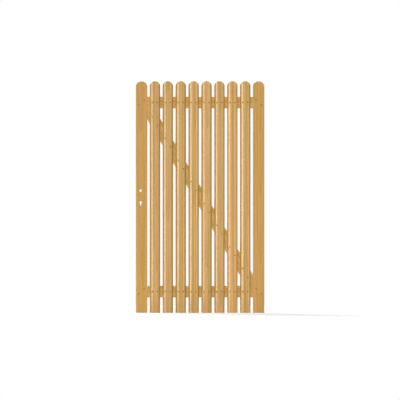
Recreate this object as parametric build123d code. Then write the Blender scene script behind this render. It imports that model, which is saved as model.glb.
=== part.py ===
"""Wooden garden gate leaf: a half-lapped frame with a brace, boarded with round-topped pickets.

Millimetres, +Z up, picket side towards -Y. The origin lies on the hinge stile's outer edge, level
with the foot of the leaf, so the leaf runs from there towards -X to the lock stile.
"""
import os

from build123d import *

# Leaf
LEAF_WIDTH = 1000.0
LEAF_HEIGHT = 1800.0

# Frame timber, shared by the stiles, the rails and the brace
FRAME_WIDTH = 90.0
FRAME_THICKNESS = 45.0
FRAME_ARRIS = 3.0
RAIL_INSET = 120.0

# Pickets: flat back, straight sides, rounded front shoulders, and room between them to swell
PICKET_COUNT = 8
PICKET_WIDTH = 82.0
PICKET_THICKNESS = 28.0
PICKET_SHOULDER = 25.0
PICKET_ARRIS = 2.0
PICKET_LEAST_SIDE = 1.0
PICKET_LEAST_GAP = 3.0

# Countersunk wood screws, sunk below the wood and set in pairs across each crossing
SCREW_HEAD_DIAMETER = 10.0
SCREW_SHANK_DIAMETER = 5.0
SCREW_TIP_DIAMETER = 1.0
SCREW_TIP_LENGTH = 6.0
SCREW_SINK = 2.0
SCREW_PAIR_SPREAD = 40.0
SCREW_CLEARANCE = 0.1
WOOD_BEHIND_PICKET_SCREW = 15.0
WOOD_BEHIND_CORNER_SCREW = 5.0

# Lock preparation in the lock stile
SPINDLE_HEIGHT = 950.0
LOCK_CENTRES = 92.0
LOCK_BACKSET = 37.5
SPINDLE_HOLE_DIAMETER = 18.0
CYLINDER_HOLE_DIAMETER = 17.0
CYLINDER_TAIL_WIDTH = 10.0
CYLINDER_HOLE_HEIGHT = 33.0
POCKET_THICKNESS = 18.0
POCKET_DEPTH = 60.0
POCKET_ABOVE_SPINDLE = 50.0
POCKET_BELOW_CYLINDER = 38.0

# Places that follow from the sizes above
LOCK_EDGE = -LEAF_WIDTH
HINGE_EDGE = 0.0
OPENING_LEFT = LOCK_EDGE + FRAME_WIDTH
OPENING_RIGHT = HINGE_EDGE - FRAME_WIDTH
OPENING_BOTTOM = RAIL_INSET + FRAME_WIDTH
OPENING_TOP = LEAF_HEIGHT - RAIL_INSET - FRAME_WIDTH
BOTTOM_RAIL_CENTRE = RAIL_INSET + FRAME_WIDTH / 2
TOP_RAIL_CENTRE = LEAF_HEIGHT - RAIL_INSET - FRAME_WIDTH / 2
FRAME_FRONT = -FRAME_THICKNESS / 2
FRAME_BACK = FRAME_THICKNESS / 2
PICKET_FRONT = FRAME_FRONT - PICKET_THICKNESS
OPENING_WIDTH = OPENING_RIGHT - OPENING_LEFT
PICKET_ROOM = (OPENING_WIDTH - (PICKET_COUNT + 1) * PICKET_LEAST_GAP) / PICKET_COUNT
BOARD_WIDTH = min(PICKET_WIDTH, PICKET_ROOM)
PICKET_GAP = (OPENING_WIDTH - PICKET_COUNT * BOARD_WIDTH) / (PICKET_COUNT + 1)
PICKET_PITCH = BOARD_WIDTH + PICKET_GAP
PICKET_CENTRES = [
    OPENING_LEFT + PICKET_GAP + BOARD_WIDTH / 2 + i * PICKET_PITCH for i in range(PICKET_COUNT)
]
LAP_DEPTH = FRAME_THICKNESS / 2
OVERCUT = 10.0


def round_top_outline(width):
    """Face in the leaf's plane, from the foot at z = 0 up to a half-round head."""
    half = width / 2
    spring = LEAF_HEIGHT - half
    left = Line((-half, 0), (-half, spring))
    head = ThreePointArc((-half, spring), (0, LEAF_HEIGHT), (half, spring))
    right = Line((half, spring), (half, 0))
    foot = Line((half, 0), (-half, 0))
    return make_face([left, head, right, foot])


def upright_plane(x, y, z=0.0):
    """Plane facing the picket side: its x runs along +X and its y up."""
    return Plane(origin=(x, y, z), x_dir=(1, 0, 0), z_dir=(0, -1, 0))


def brace_height(x):
    """Height of the brace's centre line, the diagonal of the opening from lock head to hinge foot."""
    along = (x - OPENING_LEFT) / (OPENING_RIGHT - OPENING_LEFT)
    return OPENING_TOP - along * (OPENING_TOP - OPENING_BOTTOM)


def screw_outline(length, clearance=0.0):
    """(radius, depth) corners of a screw from the rim of its head to its tip, grown by the clearance."""
    head = SCREW_HEAD_DIAMETER / 2 + clearance
    shank = SCREW_SHANK_DIAMETER / 2 + clearance
    tip = SCREW_TIP_DIAMETER / 2 + clearance
    return [
        (head, 0),
        (shank, head - shank),
        (shank, length - SCREW_TIP_LENGTH),
        (tip, length + clearance),
    ]


def turned(outline):
    """Solid turned about the Y axis from (radius, depth) corners, closed on the axis at both ends."""
    corners = [(0, outline[0][1])] + outline + [(0, outline[-1][1])]
    return revolve(make_face(Polyline(*corners, close=True)), Axis.Y)


def screws_at(points, wood_front, wood_behind):
    """Screws driven from wood_front at each (x, z) and the holes they sit in, as two lists."""
    head_face = wood_front + SCREW_SINK
    length = FRAME_BACK - wood_behind - head_face
    hole_outline = screw_outline(length, SCREW_CLEARANCE)
    rim = hole_outline[0][0]
    screw = turned(screw_outline(length))
    hole = turned([(rim, -SCREW_SINK - OVERCUT)] + hole_outline)
    places = [Pos(x, head_face, z) for x, z in points]
    return [place * screw for place in places], [place * hole for place in places]


def picket_screw_points(centre):
    """Two screws at each rail and at the brace, side by side across the picket."""
    pair = (centre - SCREW_PAIR_SPREAD / 2, centre + SCREW_PAIR_SPREAD / 2)
    points = []
    for x in pair:
        points += [(x, BOTTOM_RAIL_CENTRE), (x, brace_height(x)), (x, TOP_RAIL_CENTRE)]
    return points


def corner_screw_points(stile_centre, rail_centre):
    """Two screws on a slant through a lapped corner, the upper one on the side of the opening."""
    half = SCREW_PAIR_SPREAD / 2
    inward = half if stile_centre < (LOCK_EDGE + HINGE_EDGE) / 2 else -half
    return [(stile_centre + inward, rail_centre + half), (stile_centre - inward, rail_centre - half)]


def stile(centre):
    """Full-height upright with a half-round head, halved from behind where the rails cross it."""
    blank = extrude(upright_plane(centre, FRAME_BACK) * round_top_outline(FRAME_WIDTH), FRAME_THICKNESS)
    faces = blank.faces().sort_by(Axis.Y)
    blank = fillet(faces[0].edges() + faces[-1].edges(), FRAME_ARRIS)
    notch = Box(FRAME_WIDTH + OVERCUT, LAP_DEPTH, FRAME_WIDTH)
    for rail_centre in (BOTTOM_RAIL_CENTRE, TOP_RAIL_CENTRE):
        blank -= Pos(centre, FRAME_BACK - LAP_DEPTH / 2, rail_centre) * notch
    return blank


def lock_openings():
    """Spindle hole, cylinder hole and the routed pocket for the lock case, as one cutter."""
    x = LOCK_EDGE + LOCK_BACKSET
    cylinder_height = SPINDLE_HEIGHT - LOCK_CENTRES
    tail_radius = CYLINDER_TAIL_WIDTH / 2
    tail_drop = CYLINDER_HOLE_HEIGHT - CYLINDER_HOLE_DIAMETER / 2 - tail_radius
    tail = Pos(0, -tail_drop / 2) * Rectangle(CYLINDER_TAIL_WIDTH, tail_drop)
    keyhole = Circle(CYLINDER_HOLE_DIAMETER / 2) + tail + Pos(0, -tail_drop) * Circle(tail_radius)
    spindle = Circle(SPINDLE_HOLE_DIAMETER / 2)
    reach = FRAME_THICKNESS + 2 * OVERCUT
    start = FRAME_BACK + OVERCUT
    cutter = extrude(upright_plane(x, start, SPINDLE_HEIGHT) * spindle, reach)
    cutter += extrude(upright_plane(x, start, cylinder_height) * keyhole, reach)
    pocket_height = POCKET_ABOVE_SPINDLE + LOCK_CENTRES + POCKET_BELOW_CYLINDER
    pocket_middle = cylinder_height - POCKET_BELOW_CYLINDER + pocket_height / 2
    edge_plane = Plane(
        origin=(LOCK_EDGE - OVERCUT, 0, pocket_middle), x_dir=(0, 0, 1), z_dir=(1, 0, 0)
    )
    slot = SlotOverall(pocket_height, POCKET_THICKNESS)
    return cutter + extrude(edge_plane * slot, POCKET_DEPTH + OVERCUT)


def rail(centre):
    """Cross rail over the full width, its ends halved from the front to lap behind the stiles."""
    bar = Pos(LOCK_EDGE + LEAF_WIDTH / 2, 0, centre) * Box(LEAF_WIDTH, FRAME_THICKNESS, FRAME_WIDTH)
    bar = fillet(bar.edges().filter_by(Axis.X), FRAME_ARRIS)
    lap = Box(FRAME_WIDTH, FRAME_THICKNESS - LAP_DEPTH, FRAME_WIDTH)
    for stile_centre in (LOCK_EDGE + FRAME_WIDTH / 2, HINGE_EDGE - FRAME_WIDTH / 2):
        bar -= Pos(stile_centre, FRAME_FRONT + (FRAME_THICKNESS - LAP_DEPTH) / 2, centre) * lap
    return bar


def brace():
    """Diagonal strut from the lock side's head to the hinge side's foot, cut to fit both corners."""
    run = OPENING_RIGHT - OPENING_LEFT
    rise = OPENING_TOP - OPENING_BOTTOM
    middle = Pos((OPENING_LEFT + OPENING_RIGHT) / 2, 0, (OPENING_BOTTOM + OPENING_TOP) / 2)
    slope = Vector(run, 0, -rise).get_signed_angle(Vector(1, 0, 0), Vector(0, -1, 0))
    bar = Box(run + rise, FRAME_THICKNESS, FRAME_WIDTH)
    bar = fillet(bar.edges().filter_by(Axis.X), FRAME_ARRIS)
    opening = middle * Box(run, FRAME_THICKNESS, rise)
    return middle * Rot(Y=slope) * bar & opening


def picket(centre):
    """Upright board with a rounded front, its head cut half-round; a thin board has smaller shoulders."""
    middle = (FRAME_FRONT + PICKET_FRONT) / 2
    shoulder = min(PICKET_SHOULDER, PICKET_THICKNESS - PICKET_ARRIS - PICKET_LEAST_SIDE)
    section = Pos(centre, middle) * Rectangle(BOARD_WIDTH, PICKET_THICKNESS)
    corners = section.vertices().group_by(Axis.Y)
    section = fillet(corners[0], shoulder)
    section = fillet(section.vertices().group_by(Axis.Y)[-1], PICKET_ARRIS)
    outline = upright_plane(centre, FRAME_FRONT) * round_top_outline(BOARD_WIDTH)
    return extrude(section, LEAF_HEIGHT) & extrude(outline, PICKET_THICKNESS)


def gate():
    """All pieces of the leaf by name."""
    lock_centre = LOCK_EDGE + FRAME_WIDTH / 2
    hinge_centre = HINGE_EDGE - FRAME_WIDTH / 2
    pieces = {
        "lock_stile": stile(lock_centre) - lock_openings(),
        "hinge_stile": stile(hinge_centre),
        "bottom_rail": rail(BOTTOM_RAIL_CENTRE),
        "top_rail": rail(TOP_RAIL_CENTRE),
        "brace": brace(),
    }
    for number, centre in enumerate(PICKET_CENTRES, start=1):
        points = picket_screw_points(centre)
        screws, holes = screws_at(points, PICKET_FRONT, WOOD_BEHIND_PICKET_SCREW)
        pieces[f"picket_{number}"] = picket(centre) - holes
        pieces[f"picket_{number}_screws"] = Compound(children=screws)
        for timber in ("bottom_rail", "brace", "top_rail"):
            pieces[timber] -= holes
    corners = {
        "bottom_lock_corner": ("lock_stile", lock_centre, "bottom_rail", BOTTOM_RAIL_CENTRE),
        "bottom_hinge_corner": ("hinge_stile", hinge_centre, "bottom_rail", BOTTOM_RAIL_CENTRE),
        "top_lock_corner": ("lock_stile", lock_centre, "top_rail", TOP_RAIL_CENTRE),
        "top_hinge_corner": ("hinge_stile", hinge_centre, "top_rail", TOP_RAIL_CENTRE),
    }
    for corner, (upright, stile_centre, cross_rail, rail_centre) in corners.items():
        points = corner_screw_points(stile_centre, rail_centre)
        screws, holes = screws_at(points, FRAME_FRONT, WOOD_BEHIND_CORNER_SCREW)
        pieces[f"{corner}_screws"] = Compound(children=screws)
        pieces[upright] -= holes
        pieces[cross_rail] -= holes
    return pieces


os.makedirs("parts", exist_ok=True)
for name, piece in gate().items():
    export_step(piece, f"parts/{name}.step")
    print(f"{name}: {len(piece.solids())} solid(s), {piece.volume / 1e3:.1f} cm3")
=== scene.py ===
# %% [markdown]
# A garden gate in Blender
#
# The leaf is a half-lapped softwood frame with a diagonal brace and eight round-topped pickets.
# Its construction is already measured, so this lesson loads it as a fixed frame and
# gives it its looks: camera, light, stained wood, eased pickets and coated screws.

# %% Load the measured gate
import math
import random

import bmesh
import bpy
from mathutils import Euler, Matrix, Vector


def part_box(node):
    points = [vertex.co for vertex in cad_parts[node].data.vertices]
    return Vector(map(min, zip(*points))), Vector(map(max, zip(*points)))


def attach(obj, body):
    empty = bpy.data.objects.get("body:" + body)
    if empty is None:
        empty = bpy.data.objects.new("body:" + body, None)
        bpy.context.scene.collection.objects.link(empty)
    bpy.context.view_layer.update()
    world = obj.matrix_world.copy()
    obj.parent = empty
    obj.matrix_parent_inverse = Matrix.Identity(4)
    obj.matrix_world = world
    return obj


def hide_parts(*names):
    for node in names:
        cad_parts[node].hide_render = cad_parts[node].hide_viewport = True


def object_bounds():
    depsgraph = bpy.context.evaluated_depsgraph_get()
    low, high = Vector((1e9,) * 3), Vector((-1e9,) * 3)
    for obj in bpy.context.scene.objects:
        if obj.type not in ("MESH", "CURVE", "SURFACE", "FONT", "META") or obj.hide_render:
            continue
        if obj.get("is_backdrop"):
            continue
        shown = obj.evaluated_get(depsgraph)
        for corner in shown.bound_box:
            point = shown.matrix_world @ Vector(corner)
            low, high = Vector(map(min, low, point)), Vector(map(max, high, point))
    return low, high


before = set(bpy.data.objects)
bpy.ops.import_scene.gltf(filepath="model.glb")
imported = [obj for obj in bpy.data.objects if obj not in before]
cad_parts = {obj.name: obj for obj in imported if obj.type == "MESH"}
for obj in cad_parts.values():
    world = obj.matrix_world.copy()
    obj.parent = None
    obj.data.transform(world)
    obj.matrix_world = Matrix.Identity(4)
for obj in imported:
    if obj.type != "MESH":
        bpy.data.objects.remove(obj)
cad_low, cad_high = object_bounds()
print("gate", [round(v, 3) for v in cad_high - cad_low], "m in", len(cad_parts), "nodes")

# %% [markdown]
# The camera
#
# The picture is square on, with no vanishing lines. An orthographic camera would do, but it keeps
# its scale when it is moved round the gate, so a long lens from far off is used instead. How much
# one picture point covers follows from the gate's width, and the picture's middle is then a point
# in the gate's own plane.

# %% Camera
PICTURE_PX = 400
GATE_LEFT_PX = 135.75
GATE_RIGHT_PX = 264.45
GATE_FOOT_PX = 312.85
CAMERA_DISTANCE = 60.0
SENSOR_MM = 36.0
TIPPED = (math.radians(90), 0, 0)  # turns a camera, and later a disc, to look level and along Y

metres_per_px = (cad_high.x - cad_low.x) / (GATE_RIGHT_PX - GATE_LEFT_PX)
picture_x = cad_low.x + (PICTURE_PX / 2 - GATE_LEFT_PX) * metres_per_px
picture_z = cad_low.z + (GATE_FOOT_PX - PICTURE_PX / 2) * metres_per_px

bpy.ops.object.camera_add(
    location=(picture_x, cad_low.y - CAMERA_DISTANCE, picture_z), rotation=TIPPED)
camera = bpy.context.object
camera.data.sensor_width = SENSOR_MM
camera.data.lens = SENSOR_MM * CAMERA_DISTANCE / (PICTURE_PX * metres_per_px)
bpy.context.scene.camera = camera
print("lens", round(camera.data.lens), "mm,", round(metres_per_px * 1000, 2), "mm to a picture point")

# %% [markdown]
# Materials from nodes
#
# Every finish below is a small graph of nodes. One helper adds a node, sets it up and links it,
# another turns a colour as written on a paint chart into the linear light that shaders work in.


# %% Node helpers
def linear(hex_colour):
    """Linear RGBA from sRGB hex digits."""
    channels = [int(hex_colour[i:i + 2], 16) / 255 for i in (0, 2, 4)]
    return [c / 12.92 if c <= 0.04045 else ((c + 0.055) / 1.055) ** 2.4 for c in channels] + [1.0]


def add_node(tree, kind, inputs=None, **settings):
    """Adds a node with its settings; each input gets a value or a link from another node's output."""
    made = tree.nodes.new(kind)
    for name, value in settings.items():
        setattr(made, name, value)
    for key, value in (inputs or {}).items():
        if isinstance(value, bpy.types.NodeSocket):
            tree.links.new(value, made.inputs[key])
        else:
            made.inputs[key].default_value = value
    return made


def new_finish(name):
    """A new node material, its tree and its main shader."""
    finish = bpy.data.materials.new(name)
    finish.use_nodes = True
    return finish, finish.node_tree, finish.node_tree.nodes["Principled BSDF"]


print("middle grey 808080 is", round(linear("808080")[0], 3), "in linear light")

# %% [markdown]
# Floor and sky
#
# The gate stands before plain white. More light would bleach it, so the ground is made white
# another way: a Light Path node tells rays that look at the ground, straight from the camera or in
# a reflection, from those that light the gate, and only for the first is the sky full white and
# the paper floor a little bright. The glow stays weak enough for the gate's soft shadow to show,
# and the light on the gate stays at a plain level, so the wood keeps the colour that it is given.
# The paper itself throws no shadow, because its edge would keep low lamps off the gate's foot.

# %% Floor and sky
FLOOR_SIZE = 8.0
FLOOR_GLOW = 0.4
SKY_LIGHT = 0.2


def looked_at(tree):
    """Output that is 1 for a ray from the camera, a reflection or a clear pane, and otherwise 0."""
    rays = add_node(tree, "ShaderNodeLightPath").outputs
    direct = add_node(tree, "ShaderNodeMath", {
        0: rays["Is Camera Ray"], 1: rays["Is Glossy Ray"]}, operation="MAXIMUM")
    any_look = add_node(tree, "ShaderNodeMath", {
        0: direct.outputs[0], 1: rays["Is Transmission Ray"]}, operation="MAXIMUM")
    return any_look.outputs[0]


bpy.ops.mesh.primitive_plane_add(size=FLOOR_SIZE, location=(picture_x, 0, cad_low.z))
floor = bpy.context.object
floor.name = "paper_floor"
paper, tree, shader = new_finish("white_studio_paper")
shader.inputs["Base Color"].default_value = linear("e6e6e6")
shader.inputs["Roughness"].default_value = 1.0
shader.inputs["Specular IOR Level"].default_value = 0.0
shader.inputs["Emission Color"].default_value = linear("ffffff")
glow = add_node(tree, "ShaderNodeMapRange", {"Value": looked_at(tree), "To Max": FLOOR_GLOW})
tree.links.new(glow.outputs["Result"], shader.inputs["Emission Strength"])
floor.data.materials.append(paper)
floor.visible_shadow = False
floor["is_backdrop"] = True

sky = bpy.data.worlds.new("white_studio_sky")
bpy.context.scene.world = sky
sky.use_nodes = True
background = sky.node_tree.nodes["Background"]
background.inputs["Color"].default_value = linear("ffffff")
shine = add_node(sky.node_tree, "ShaderNodeMapRange", {
    "Value": looked_at(sky.node_tree), "To Min": SKY_LIGHT})
sky.node_tree.links.new(shine.outputs["Result"], background.inputs["Strength"])
bpy.context.scene.view_settings.view_transform = "Standard"
print("floor", floor.name, "and sky", sky.name)

# %% [markdown]
# Softboxes
#
# Each picket carries one bright line along its left shoulder. A rounded edge mirrors a slice of
# its surroundings, so a wide and low softbox on the left, whose near end stops short of the
# camera, draws that line and leaves the flat faces plain. A small one above the camera is the main
# light on the fronts, a faint one on the right lifts the other shoulders, and a large one behind
# lights the back of the leaf. All of them stand as far off as the camera, so head and foot get
# the same light, and their size then sets how soft a shadow is.

# %% Softboxes
gate_middle = (cad_low + cad_high) / 2


def softbox(name, left_deg, up_deg, width, height, power):
    """A far rectangular lamp, left_deg to the camera's left of the gate and up_deg above the floor."""
    left, up = math.radians(left_deg), math.radians(up_deg)
    towards = Vector((-math.sin(left) * math.cos(up), -math.cos(left) * math.cos(up), math.sin(up)))
    bpy.ops.object.light_add(type="AREA", location=gate_middle + towards * CAMERA_DISTANCE)
    lamp = bpy.context.object
    lamp.name = name
    lamp.rotation_euler = towards.to_track_quat("Z", "Y").to_euler()
    lamp.data.shape = "RECTANGLE"
    lamp.data.size, lamp.data.size_y = width, height
    lamp.data.energy = power


softbox("left_softbox", left_deg=31.5, up_deg=0, width=62, height=8.4, power=7900)
softbox("front_softbox", left_deg=0, up_deg=35, width=10, height=10, power=17300)
softbox("right_softbox", left_deg=-32, up_deg=0, width=46, height=8.4, power=2200)
softbox("back_softbox", left_deg=150, up_deg=35, width=24, height=24, power=32000)

# %% [markdown]
# The grain of larch
#
# Planed larch shows growth rings that darken towards one side and break off sharply, and fine
# fibres along the board. A picture of wood wrapped round a board would show the same lines on
# every side. Here the pattern fills space instead: rings are cylinders round the tree's heart,
# which lies outside the board and leans a little, so a flat face cuts them into long arches and a
# sawn end shows arcs. Fibres, and the streaks that the stain follows, run straight along the
# board. The places of heart and streaks are drawn by chance, so each board is its own cut.

# %% Larch grain
RING = 0.013  # real rings are 2 to 4 mm apart, drawn coarser so that they show in the picture
WAVE_PERIOD = 2 * math.pi / 20  # from ring to ring in a Wave texture of scale 1
RING_WOBBLE = 5.0
WOBBLE_ALONG = 0.08  # how fast a ring wobbles along the tree, next to across it
STREAK = (0.012, 3.0)  # width and length of a streak where the stain took differently
FIBRE = (0.0022, 0.12)  # real fibres are finer, drawn coarser for the same reason


def larch_grain(tree, place, middle, lean, draw):
    """Outputs for the rings, streaks and fibres of a board whose grain leans by lean towards +X."""
    middle.rotate(Euler((0, -lean, 0)))
    board = add_node(tree, "ShaderNodeMapping", {
        "Vector": place, "Rotation": (0, -lean, 0), "Location": -middle})
    heart = (draw.uniform(-0.05, 0.05), draw.uniform(0.05, 0.1), draw.uniform(0, 9))
    tilt = (math.radians(draw.uniform(0.5, 1.5)), math.radians(draw.uniform(-0.8, 0.8)), 0)
    log = add_node(tree, "ShaderNodeMapping", {
        "Vector": board.outputs[0], "Location": heart, "Rotation": tilt})
    squeezed = add_node(tree, "ShaderNodeMapping", {
        "Vector": log.outputs[0], "Scale": (1, 1, WOBBLE_ALONG)})
    rings = add_node(tree, "ShaderNodeTexWave", {
        "Vector": squeezed.outputs[0], "Scale": WAVE_PERIOD / RING, "Distortion": RING_WOBBLE,
        "Detail": 2, "Detail Scale": 0.3,
    }, wave_type="RINGS", rings_direction="Z", wave_profile="SAW")
    streak_size, fibre_size = [
        add_node(tree, "ShaderNodeMapping", {
            "Vector": board.outputs[0], "Scale": (1 / wide, 1 / wide, 1 / long),
            "Location": [draw.uniform(0, 99) for axis in "xyz"]}).outputs[0]
        for wide, long in (STREAK, FIBRE)]
    streaks = add_node(tree, "ShaderNodeTexNoise", {"Vector": streak_size, "Scale": 1, "Detail": 3})
    fibres = add_node(tree, "ShaderNodeTexNoise", {"Vector": fibre_size, "Scale": 1, "Detail": 2})
    return [texture.outputs["Fac"] for texture in (rings, streaks, fibres)]


print("rings", RING * 1000, "mm apart, streaks", STREAK[0] * 1000, "mm wide")

# %% [markdown]
# The stain
#
# A honey-coloured stain leaves streaks between olive and orange where it took more or less. The
# late wood of each ring and the fibres are darker, and sawn ends, which drank most of it, darker
# still. One could paint these layers over each other by hand. Here each layer is a Mix node, and
# a Map Range node picks where it lies and how much of it shows.

# %% Larch stain
STREAK_STOPS = (0.43, 0.57)  # close together, so that the streaks have firm edges
LATE_WOOD = ("ab732c", 0.3)  # a layer's colour, and its share where it is strongest
FIBRE_LINES = ("9c6e2b", 0.35)
SAWN_END = ("8c5e28", 0.6)


def larch_stain(tree, rings, streaks, fibres, sawn, colours, tone_and_painted_light):
    """Colour output of a stain between two colours, with late wood, fibres and sawn ends over it."""
    stain = add_node(tree, "ShaderNodeValToRGB", {"Fac": streaks})
    for stop, position, colour in zip(stain.color_ramp.elements, STREAK_STOPS, colours):
        stop.position = position
        stop.color = [c * tone_and_painted_light for c in linear(colour)[:3]] + [1]
    late = add_node(tree, "ShaderNodeMapRange", {
        "Value": rings, "From Min": 0.35, "To Max": LATE_WOOD[1]}, interpolation_type="SMOOTHSTEP")
    thread = add_node(tree, "ShaderNodeMapRange", {
        "Value": fibres, "From Min": 0.4, "From Max": 0.75, "To Max": FIBRE_LINES[1]})
    shown = stain.outputs["Color"]
    for share, layer in (
            (late.outputs["Result"], LATE_WOOD), (thread.outputs["Result"], FIBRE_LINES), (sawn, SAWN_END)):
        mix = add_node(tree, "ShaderNodeMix", {
            "Factor": share, 6: shown, 7: linear(layer[0])}, data_type="RGBA")
        shown = mix.outputs[2]
    return shown


print("stain layers", LATE_WOOD, FIBRE_LINES, SAWN_END)

# %% [markdown]
# Stained larch
#
# Over the stain lies a thick satin lacquer with a warm gleam, through which the fibres can just be
# felt. Sawn ends drank the lacquer as well, so they are dull. A face is known for a sawn end by
# its normal, which points along the grain there.

# %% Stained larch
LACQUER_ROUGHNESS = (0.14, 0.17)
SAWN_ROUGHNESS = 0.8
LACQUER_TINT = "ffe8c8"
FIBRE_RELIEF = 0.0003


def stained_larch(name, low, high, lean, colours, tone_and_painted_light, seed):
    """Larch for one board between two corners, its grain leaning from upright towards +X by lean."""
    finish, tree, shader = new_finish("stained_larch_" + name)
    place = add_node(tree, "ShaderNodeTexCoord").outputs
    rings, streaks, fibres = larch_grain(
        tree, place["Object"], (low + high) / 2, lean, random.Random(seed))
    grain = (math.sin(lean), 0, math.cos(lean))
    along = add_node(tree, "ShaderNodeVectorMath", {0: place["Normal"], 1: grain}, operation="DOT_PRODUCT")
    facing = add_node(tree, "ShaderNodeMath", {0: along.outputs["Value"]}, operation="ABSOLUTE")
    sawn = add_node(tree, "ShaderNodeMapRange", {
        "Value": facing.outputs[0], "From Min": 0.3, "From Max": 0.95, "To Max": SAWN_END[1],
    }).outputs["Result"]
    colour = larch_stain(tree, rings, streaks, fibres, sawn, colours, tone_and_painted_light)
    tree.links.new(colour, shader.inputs["Base Color"])

    satin = add_node(tree, "ShaderNodeMapRange", {
        "Value": fibres, "From Min": 0.3, "From Max": 0.7,
        "To Min": LACQUER_ROUGHNESS[0], "To Max": LACQUER_ROUGHNESS[1]})
    dulled = add_node(tree, "ShaderNodeMix", {
        "Factor": sawn, 2: satin.outputs["Result"], 3: SAWN_ROUGHNESS})
    tree.links.new(dulled.outputs[0], shader.inputs["Roughness"])
    shader.inputs["Specular IOR Level"].default_value = 1.0
    shader.inputs["Specular Tint"].default_value = linear(LACQUER_TINT)
    relief = add_node(tree, "ShaderNodeBump", {
        "Height": fibres, "Strength": 0.05, "Distance": FIBRE_RELIEF})
    tree.links.new(relief.outputs["Normal"], shader.inputs["Normal"])
    return finish


print("lacquer roughness", LACQUER_ROUGHNESS, "and", SAWN_ROUGHNESS, "on sawn ends")

# %% [markdown]
# The frame timbers
#
# Stiles, rails and brace are right as they come from the measured model, with their laps, screw
# holes and eased arrises, so they stay and only get their wood. The grain runs along each timber:
# upright in the stiles, level in the rails, and along the diagonal in the brace. Under one stain
# the heartwood of the stiles comes out redder than the sapwood of the pickets. Rails and brace get
# that sapwood a little greener, and the rails a little lighter: painted light that offsets the
# shade and the reddish bounce light that the pickets throw on them.

# %% Wood for the frame
brace_low, brace_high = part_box("brace")
brace_lean = -math.atan2(brace_high.x - brace_low.x, brace_high.z - brace_low.z)
HEARTWOOD = ("c0963f", "d39e52")  # the two ends of the streaks in the stain
SAPWOOD = ("b89442", "d8a865")
# the sapwood made a little greener for rails and brace: painted light against the reddish bounce light from
# the pickets
RAILWOOD_PAINTED_LIGHT = ("b6973e", "d5ab60")
LEVEL = math.radians(90)
FRAME_SEED = 40
TIMBERS = {  # lean of the grain, the wood, and how much light its stain gives back
    "lock_stile": (0, HEARTWOOD, 0.95), "hinge_stile": (0, HEARTWOOD, 0.98),
    # the rails' raised values are painted light against the shade that the pickets cast on them
    "bottom_rail": (LEVEL, RAILWOOD_PAINTED_LIGHT, 1.03), "top_rail": (LEVEL, RAILWOOD_PAINTED_LIGHT, 1.08),
    "brace": (brace_lean, RAILWOOD_PAINTED_LIGHT, 1.01),
}
for number, (name, (lean, colours, tone_and_painted_light)) in enumerate(TIMBERS.items()):
    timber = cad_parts[name]
    timber.data.materials.clear()
    timber.data.materials.append(
        stained_larch(name, *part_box(name), lean, colours, tone_and_painted_light, FRAME_SEED + number))
print("frame timbers", list(TIMBERS), "brace leans", round(math.degrees(brace_lean), 1), "degrees")

# %% [markdown]
# Where the screws go
#
# Two screws hold each picket at both rails and at the brace, and two hold each lapped corner.
# Their places follow from the boxes of the timbers that they join.

# %% Screw places
PAIR = 0.040  # how far the two screws of a pair are apart, across the leaf
PICKETS = [f"picket_{number}" for number in range(1, 9)]
CORNERS = [f"{level}_{side}" for level in ("bottom", "top") for side in ("lock", "hinge")]


def middle_of(node):
    """Middle of a node's box."""
    low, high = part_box(node)
    return (low + high) / 2


def brace_height(x):
    """Height of the brace's middle line at x, from its upper left to its lower right corner."""
    share = (x - brace_low.x) / (brace_high.x - brace_low.x)
    return brace_high.z + share * (brace_low.z - brace_high.z)


screw_places = {}
for picket in PICKETS:
    head_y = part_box(picket + "_screws")[0].y
    screw_places[picket + "_screws"] = [
        Vector((x, head_y, z))
        for x in (middle_of(picket).x - PAIR / 2, middle_of(picket).x + PAIR / 2)
        for z in (middle_of("bottom_rail").z, brace_height(x), middle_of("top_rail").z)]
for corner in CORNERS:
    node = corner + "_corner_screws"
    head_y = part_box(node)[0].y
    inward = PAIR / 2 if "lock" in corner else -PAIR / 2
    screw_places[node] = [
        Vector((middle_of(node).x + sign * inward, head_y, middle_of(node).z + sign * PAIR / 2))
        for sign in (1, -1)]
print(sum(len(places) for places in screw_places.values()), "screws in", len(screw_places), "groups")

# %% [markdown]
# Tools for modelling
#
# Operators act on whatever is selected, so a piece is always picked first, and inside it the
# points, edges or faces are picked by where they are. They may number a mesh differently in each
# run, so a finished pattern is put in order by distance from a point off to one side.

# %% Modelling helpers
ORDER_POINT = (0.7371, -3.1127, 5.2913)  # on no plane of symmetry, so hardly two distances are alike


def hold(*pieces):
    """Selects just these pieces and makes the first one active."""
    bpy.ops.object.select_all(action="DESELECT")
    for piece in pieces:
        piece.select_set(True)
    bpy.context.view_layer.objects.active = pieces[0]


def grab(kind, wanted):
    """In edit mode, selects only the vertices, edges or faces whose middle passes wanted."""
    bpy.ops.mesh.select_mode(type=kind)
    bpy.ops.mesh.select_all(action="DESELECT")
    shape = bmesh.from_edit_mesh(bpy.context.object.data)
    for part in {"VERT": shape.verts, "EDGE": shape.edges, "FACE": shape.faces}[kind]:
        points = [part.co] if kind == "VERT" else [v.co for v in part.verts]
        part.select_set(wanted(sum(points, Vector()) / len(points)))
    shape.select_flush_mode()
    bmesh.update_edit_mesh(bpy.context.object.data)


def put_in_order():
    """In edit mode, sorts points, edges and faces by their distance from one far point."""
    bpy.context.scene.cursor.location = ORDER_POINT
    bpy.ops.mesh.select_all(action="SELECT")
    bpy.ops.mesh.sort_elements(type="CURSOR_DISTANCE", elements={"VERT", "EDGE", "FACE"})


def copies_at(original, places, draw):
    """Copies of a piece made at the origin, each turned by chance, set at its place, and joined."""
    made = []
    for place in places:
        hold(original)
        bpy.ops.object.duplicate()
        made.append(bpy.context.object)
        bpy.ops.transform.rotate(value=draw.uniform(0, 2 * math.pi), orient_axis="Y",
                                 center_override=(0, 0, 0))
        bpy.ops.transform.translate(value=place)
        bpy.ops.object.transform_apply(location=True, rotation=True, scale=True)
    hold(*made)
    bpy.ops.object.join()
    return bpy.context.object


print("meshes are ordered from", ORDER_POINT)

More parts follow.
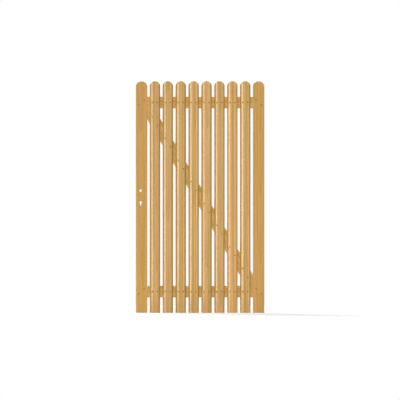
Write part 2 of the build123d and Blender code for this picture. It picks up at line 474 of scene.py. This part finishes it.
# %% [markdown]
# One picket
#
# A picket is a planed board with a flat back, a front rounded off to both sides, and a half-round
# head. A cube with rounded edges and a head cut off by a cylinder would leave slivers where the
# two curves cross. Instead the head comes first: half a circle is drawn, its points are pulled
# down to the foot, and the sheet is given its thickness. Every point of the head then has a
# partner at the foot straight below it, and pushing such lines back bends the shoulders.

# %% Picket outline
HEAD_POINTS = 64
TOUCH = 0.00005  # points this near to a place count as lying there
picket_low, picket_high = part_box("picket_1")
half_width = (picket_high.x - picket_low.x) / 2
picket_x = (picket_low.x + picket_high.x) / 2
spring = picket_high.z - half_width

bpy.ops.object.select_all(action="DESELECT")
bpy.ops.mesh.primitive_circle_add(
    vertices=HEAD_POINTS, radius=half_width, rotation=TIPPED,
    location=(picket_x, picket_high.y, spring))
board = bpy.context.object
board.name = "picket_pattern"
bpy.ops.object.transform_apply(location=True, rotation=True, scale=True)
bpy.ops.object.mode_set(mode="EDIT")
grab("VERT", lambda point: point.z < spring - TOUCH)
bpy.ops.mesh.delete(type="VERT")
bpy.ops.mesh.select_all(action="SELECT")
bpy.ops.mesh.extrude_region_move(TRANSFORM_OT_translate={"value": (0, 0, -half_width)})
bpy.ops.transform.resize(value=(1, 1, 0), center_override=(0, 0, picket_low.z))
bpy.ops.mesh.select_all(action="SELECT")
bpy.ops.mesh.extrude_region_move(TRANSFORM_OT_translate={"value": (0, picket_low.y - picket_high.y, 0)})
bpy.ops.mesh.select_all(action="SELECT")
bpy.ops.mesh.normals_make_consistent(inside=False)
print("picket outline", len(bmesh.from_edit_mesh(board.data).faces), "faces")

# %% [markdown]
# Shoulders and eased edges
#
# The front is flat in the middle and falls away in a quarter round to each side. Then the strips
# that lie in one plane are merged, which leaves long clean edges, and every edge that is still
# sharp is eased with a small bevel, as by sandpaper.

# %% Picket shoulders
SHOULDER = 0.025
EASING = 0.0018
EASING_STEPS = 3
FLAT_ANGLE = math.radians(0.5)
SHARP_ANGLE = math.radians(30)
for step in range(HEAD_POINTS // 4):
    aside = half_width * math.cos(2 * math.pi * step / HEAD_POINTS)
    into = aside - (half_width - SHOULDER)
    if into <= 0:
        break
    fall = SHOULDER - math.sqrt(SHOULDER ** 2 - into ** 2)
    grab("VERT", lambda point: abs(abs(point.x - picket_x) - aside) < TOUCH
         and abs(point.y - picket_low.y) < TOUCH)
    bpy.ops.transform.translate(value=(0, fall, 0))
bpy.ops.mesh.select_all(action="SELECT")
bpy.ops.mesh.dissolve_limited(angle_limit=FLAT_ANGLE)
bpy.ops.mesh.select_all(action="DESELECT")
bpy.ops.mesh.select_mode(type="EDGE")
bpy.ops.mesh.edges_select_sharp(sharpness=SHARP_ANGLE)
bpy.ops.mesh.bevel(offset=EASING, segments=EASING_STEPS, affect="EDGES")
put_in_order()
print("picket shaped", len(bmesh.from_edit_mesh(board.data).faces), "faces")
bpy.ops.object.mode_set(mode="OBJECT")

# %% [markdown]
# The drill
#
# Each screw hole is a wide bore down to the sunk head, a cone under it, and a narrow bore for the
# shank. One drill with that outline is made at the origin by pushing a disc along, and copies of
# it cut the holes with a Boolean.

# %% Drill
CLEARANCE = 0.0001
HEAD_RADIUS = 0.005
SHANK_RADIUS = 0.0025
DRILL_LEAD = 0.01  # how far the drill stands out in front of a screw's head
DRILL_REACH = 0.05  # how far it goes on behind the cone, out of the picket's back
DRILL_SIDES = 32


def lathe_disc(name, radius, start, pushes, sides):
    """A disc facing -Y at the origin, pushed along +Y through (distance, new radius) steps."""
    bpy.ops.object.select_all(action="DESELECT")
    bpy.ops.mesh.primitive_circle_add(
        vertices=sides, radius=radius, fill_type="NGON", rotation=TIPPED, location=(0, start, 0))
    made = bpy.context.object
    made.name = name
    bpy.ops.object.transform_apply(location=True, rotation=True, scale=True)
    bpy.ops.object.mode_set(mode="EDIT")
    bpy.ops.mesh.select_all(action="SELECT")
    for distance, wide in pushes:
        bpy.ops.mesh.extrude_region_move(TRANSFORM_OT_translate={"value": (0, distance, 0)})
        bpy.ops.transform.resize(value=(wide / radius, 1, wide / radius), center_override=(0, 0, 0))
        radius = wide
    bpy.ops.mesh.select_all(action="SELECT")
    bpy.ops.mesh.normals_make_consistent(inside=False)
    put_in_order()
    bpy.ops.object.mode_set(mode="OBJECT")
    return made


bore, shank_bore = HEAD_RADIUS + CLEARANCE, SHANK_RADIUS + CLEARANCE
drill = lathe_disc("drill", bore, -DRILL_LEAD, [
    (DRILL_LEAD, bore), (HEAD_RADIUS - SHANK_RADIUS, shank_bore), (DRILL_REACH, shank_bore)], DRILL_SIDES)
print("drill", len(drill.data.polygons), "faces")

# %% [markdown]
# Eight pickets
#
# The pattern is copied to each picket's place, drilled there, and smoothed: faces that meet at a
# shallow angle share their shading, and weighted normals keep the broad flats flat. Board and
# drills are closed shapes, so the Boolean's Manifold solver cuts them cleanly, and points that it
# leaves almost on top of each other are merged.

# %% Cut and place the pickets
WELD = 0.000005
PICKET_TONES = (0.93, 0.94, 0.96, 1.03, 0.99, 0.95, 1.04, 1.02)
PICKET_SEED = 60
chance = random.Random(7)
for number, name in enumerate(PICKETS):
    hold(board)
    bpy.ops.object.duplicate()
    picket = bpy.context.object
    bpy.ops.transform.translate(value=(middle_of(name).x - picket_x, 0, 0))
    bpy.ops.object.transform_apply(location=True, rotation=True, scale=True)
    picket.name = name + "_board"
    drills = copies_at(drill, screw_places[name + "_screws"], chance)
    hold(picket)
    cut = picket.modifiers.new("screw_holes", "BOOLEAN")
    cut.object = drills
    cut.solver = "MANIFOLD"
    bpy.ops.object.modifier_apply(modifier=cut.name)
    bpy.data.objects.remove(drills)
    bpy.ops.object.mode_set(mode="EDIT")
    bpy.ops.mesh.select_all(action="SELECT")
    bpy.ops.mesh.remove_doubles(threshold=WELD)
    bpy.ops.object.mode_set(mode="OBJECT")
    bpy.ops.object.shade_smooth_by_angle(angle=SHARP_ANGLE)
    level = picket.modifiers.new("flat_faces", "WEIGHTED_NORMAL")
    level.keep_sharp = True
    bpy.ops.object.modifier_apply(modifier=level.name)
    picket.data.materials.clear()
    picket.data.materials.append(
        stained_larch(name, *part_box(name), 0, SAPWOOD, PICKET_TONES[number], PICKET_SEED + number))
    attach(picket, "root")
    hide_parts(name)
bpy.data.objects.remove(board)
bpy.data.objects.remove(drill)
print("pickets", len(PICKETS), "with", len(picket.data.polygons), "faces each")

# %% [markdown]
# One screw
#
# A countersunk wood screw with a six-lobed drive, sunk a little below the wood. The same pushing
# of a disc that made the drill makes its cone, shank and tip, and the drive is set into the flat
# face of the head.

# %% Screw
SCREW_SIDES = 36
TIP_RADIUS = 0.0005
TIP_LENGTH = 0.006
DRIVE_RADIUS = 0.0021
DRIVE_DEPTH = 0.0016
LOBES = 6
LOBE_WAIST = 0.72


def wood_screw(name, length):
    """A six-lobe countersunk screw of this length with the middle of its head at the origin."""
    screw = lathe_disc(name, HEAD_RADIUS, 0, [
        (HEAD_RADIUS - SHANK_RADIUS, SHANK_RADIUS),
        (length - TIP_LENGTH - HEAD_RADIUS + SHANK_RADIUS, SHANK_RADIUS),
        (TIP_LENGTH, TIP_RADIUS)], SCREW_SIDES)
    bpy.ops.object.mode_set(mode="EDIT")
    grab("FACE", lambda point: point.y < TOUCH)
    bpy.ops.mesh.inset(thickness=HEAD_RADIUS - DRIVE_RADIUS)
    bpy.ops.mesh.select_mode(type="VERT")
    drive = [v for v in bmesh.from_edit_mesh(screw.data).verts if v.select]
    for corner in drive:
        angle = math.atan2(corner.co.z, corner.co.x)
        wave = (1 + LOBE_WAIST) / 2 + (1 - LOBE_WAIST) / 2 * math.cos(LOBES * angle)
        corner.co.x *= wave
        corner.co.z *= wave
    bmesh.update_edit_mesh(screw.data)
    bpy.ops.mesh.select_mode(type="FACE")
    bpy.ops.mesh.extrude_region_move(TRANSFORM_OT_translate={"value": (0, DRIVE_DEPTH, 0)})
    bpy.ops.mesh.select_all(action="SELECT")
    bpy.ops.mesh.normals_make_consistent(inside=False)
    put_in_order()
    bpy.ops.object.mode_set(mode="OBJECT")
    bpy.ops.object.shade_smooth_by_angle(angle=SHARP_ANGLE)
    return screw


print("screw head", HEAD_RADIUS * 2000, "mm across, its drive", DRIVE_RADIUS * 2000, "mm")

# %% [markdown]
# Bronze-coated steel
#
# Screws for outdoor softwood are steel under a baked bronze-brown coat. It is a little glossy and
# hides the metal, so the eye sees small brown dots, with a glint in the drive. Fine flecks in the
# coat vary its brown and its gloss.

# %% Screw finish
FLECK = 0.0008  # real flecks are finer, drawn coarser so that they show close up
FLECK_STOPS = (0.35, 0.65)
COAT_BROWNS = ("764b12", "91611e")
COAT_ROUGHNESS = (0.35, 0.55)
bronze_coat, tree, shader = new_finish("bronze_coated_steel")
place = add_node(tree, "ShaderNodeTexCoord")
flecks = add_node(tree, "ShaderNodeTexNoise", {
    "Vector": place.outputs["Object"], "Scale": 1 / FLECK, "Detail": 2})
coat = add_node(tree, "ShaderNodeValToRGB", {"Fac": flecks.outputs["Fac"]})
for stop, position, colour in zip(coat.color_ramp.elements, FLECK_STOPS, COAT_BROWNS):
    stop.position = position
    stop.color = linear(colour)
tree.links.new(coat.outputs["Color"], shader.inputs["Base Color"])
sheen = add_node(tree, "ShaderNodeMapRange", {
    "Value": flecks.outputs["Fac"], "To Min": COAT_ROUGHNESS[0], "To Max": COAT_ROUGHNESS[1]})
tree.links.new(sheen.outputs["Result"], shader.inputs["Roughness"])
shader.inputs["Specular IOR Level"].default_value = 0.2
print("finish", bronze_coat.name)

# %% [markdown]
# All the screws
#
# The picket screws and the corner screws differ in length only, and each is turned by chance as
# the driver left it. All screws of one group are one piece, as in the measured model.

# %% Drive the screws
for node, places in screw_places.items():
    low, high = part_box(node)
    pattern = wood_screw("screw_pattern", high.y - low.y)
    screws = copies_at(pattern, places, chance)
    bpy.data.objects.remove(pattern)
    screws.name = node.replace("_screws", "_wood_screws")
    screws.data.materials.append(bronze_coat)
    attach(screws, "root")
    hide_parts(node)
print("screw groups", len(screw_places), "with", len(screws.data.polygons), "faces in the last")

# %% [markdown]
# Sizes
#
# The size of the finished gate's box is printed, as the measured gate's size was at the start.
# The finished gate must fill the same box as the measured one.

# %% Sizes and finish
low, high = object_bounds()
print("visual box", [round(v, 4) for v in high - low])
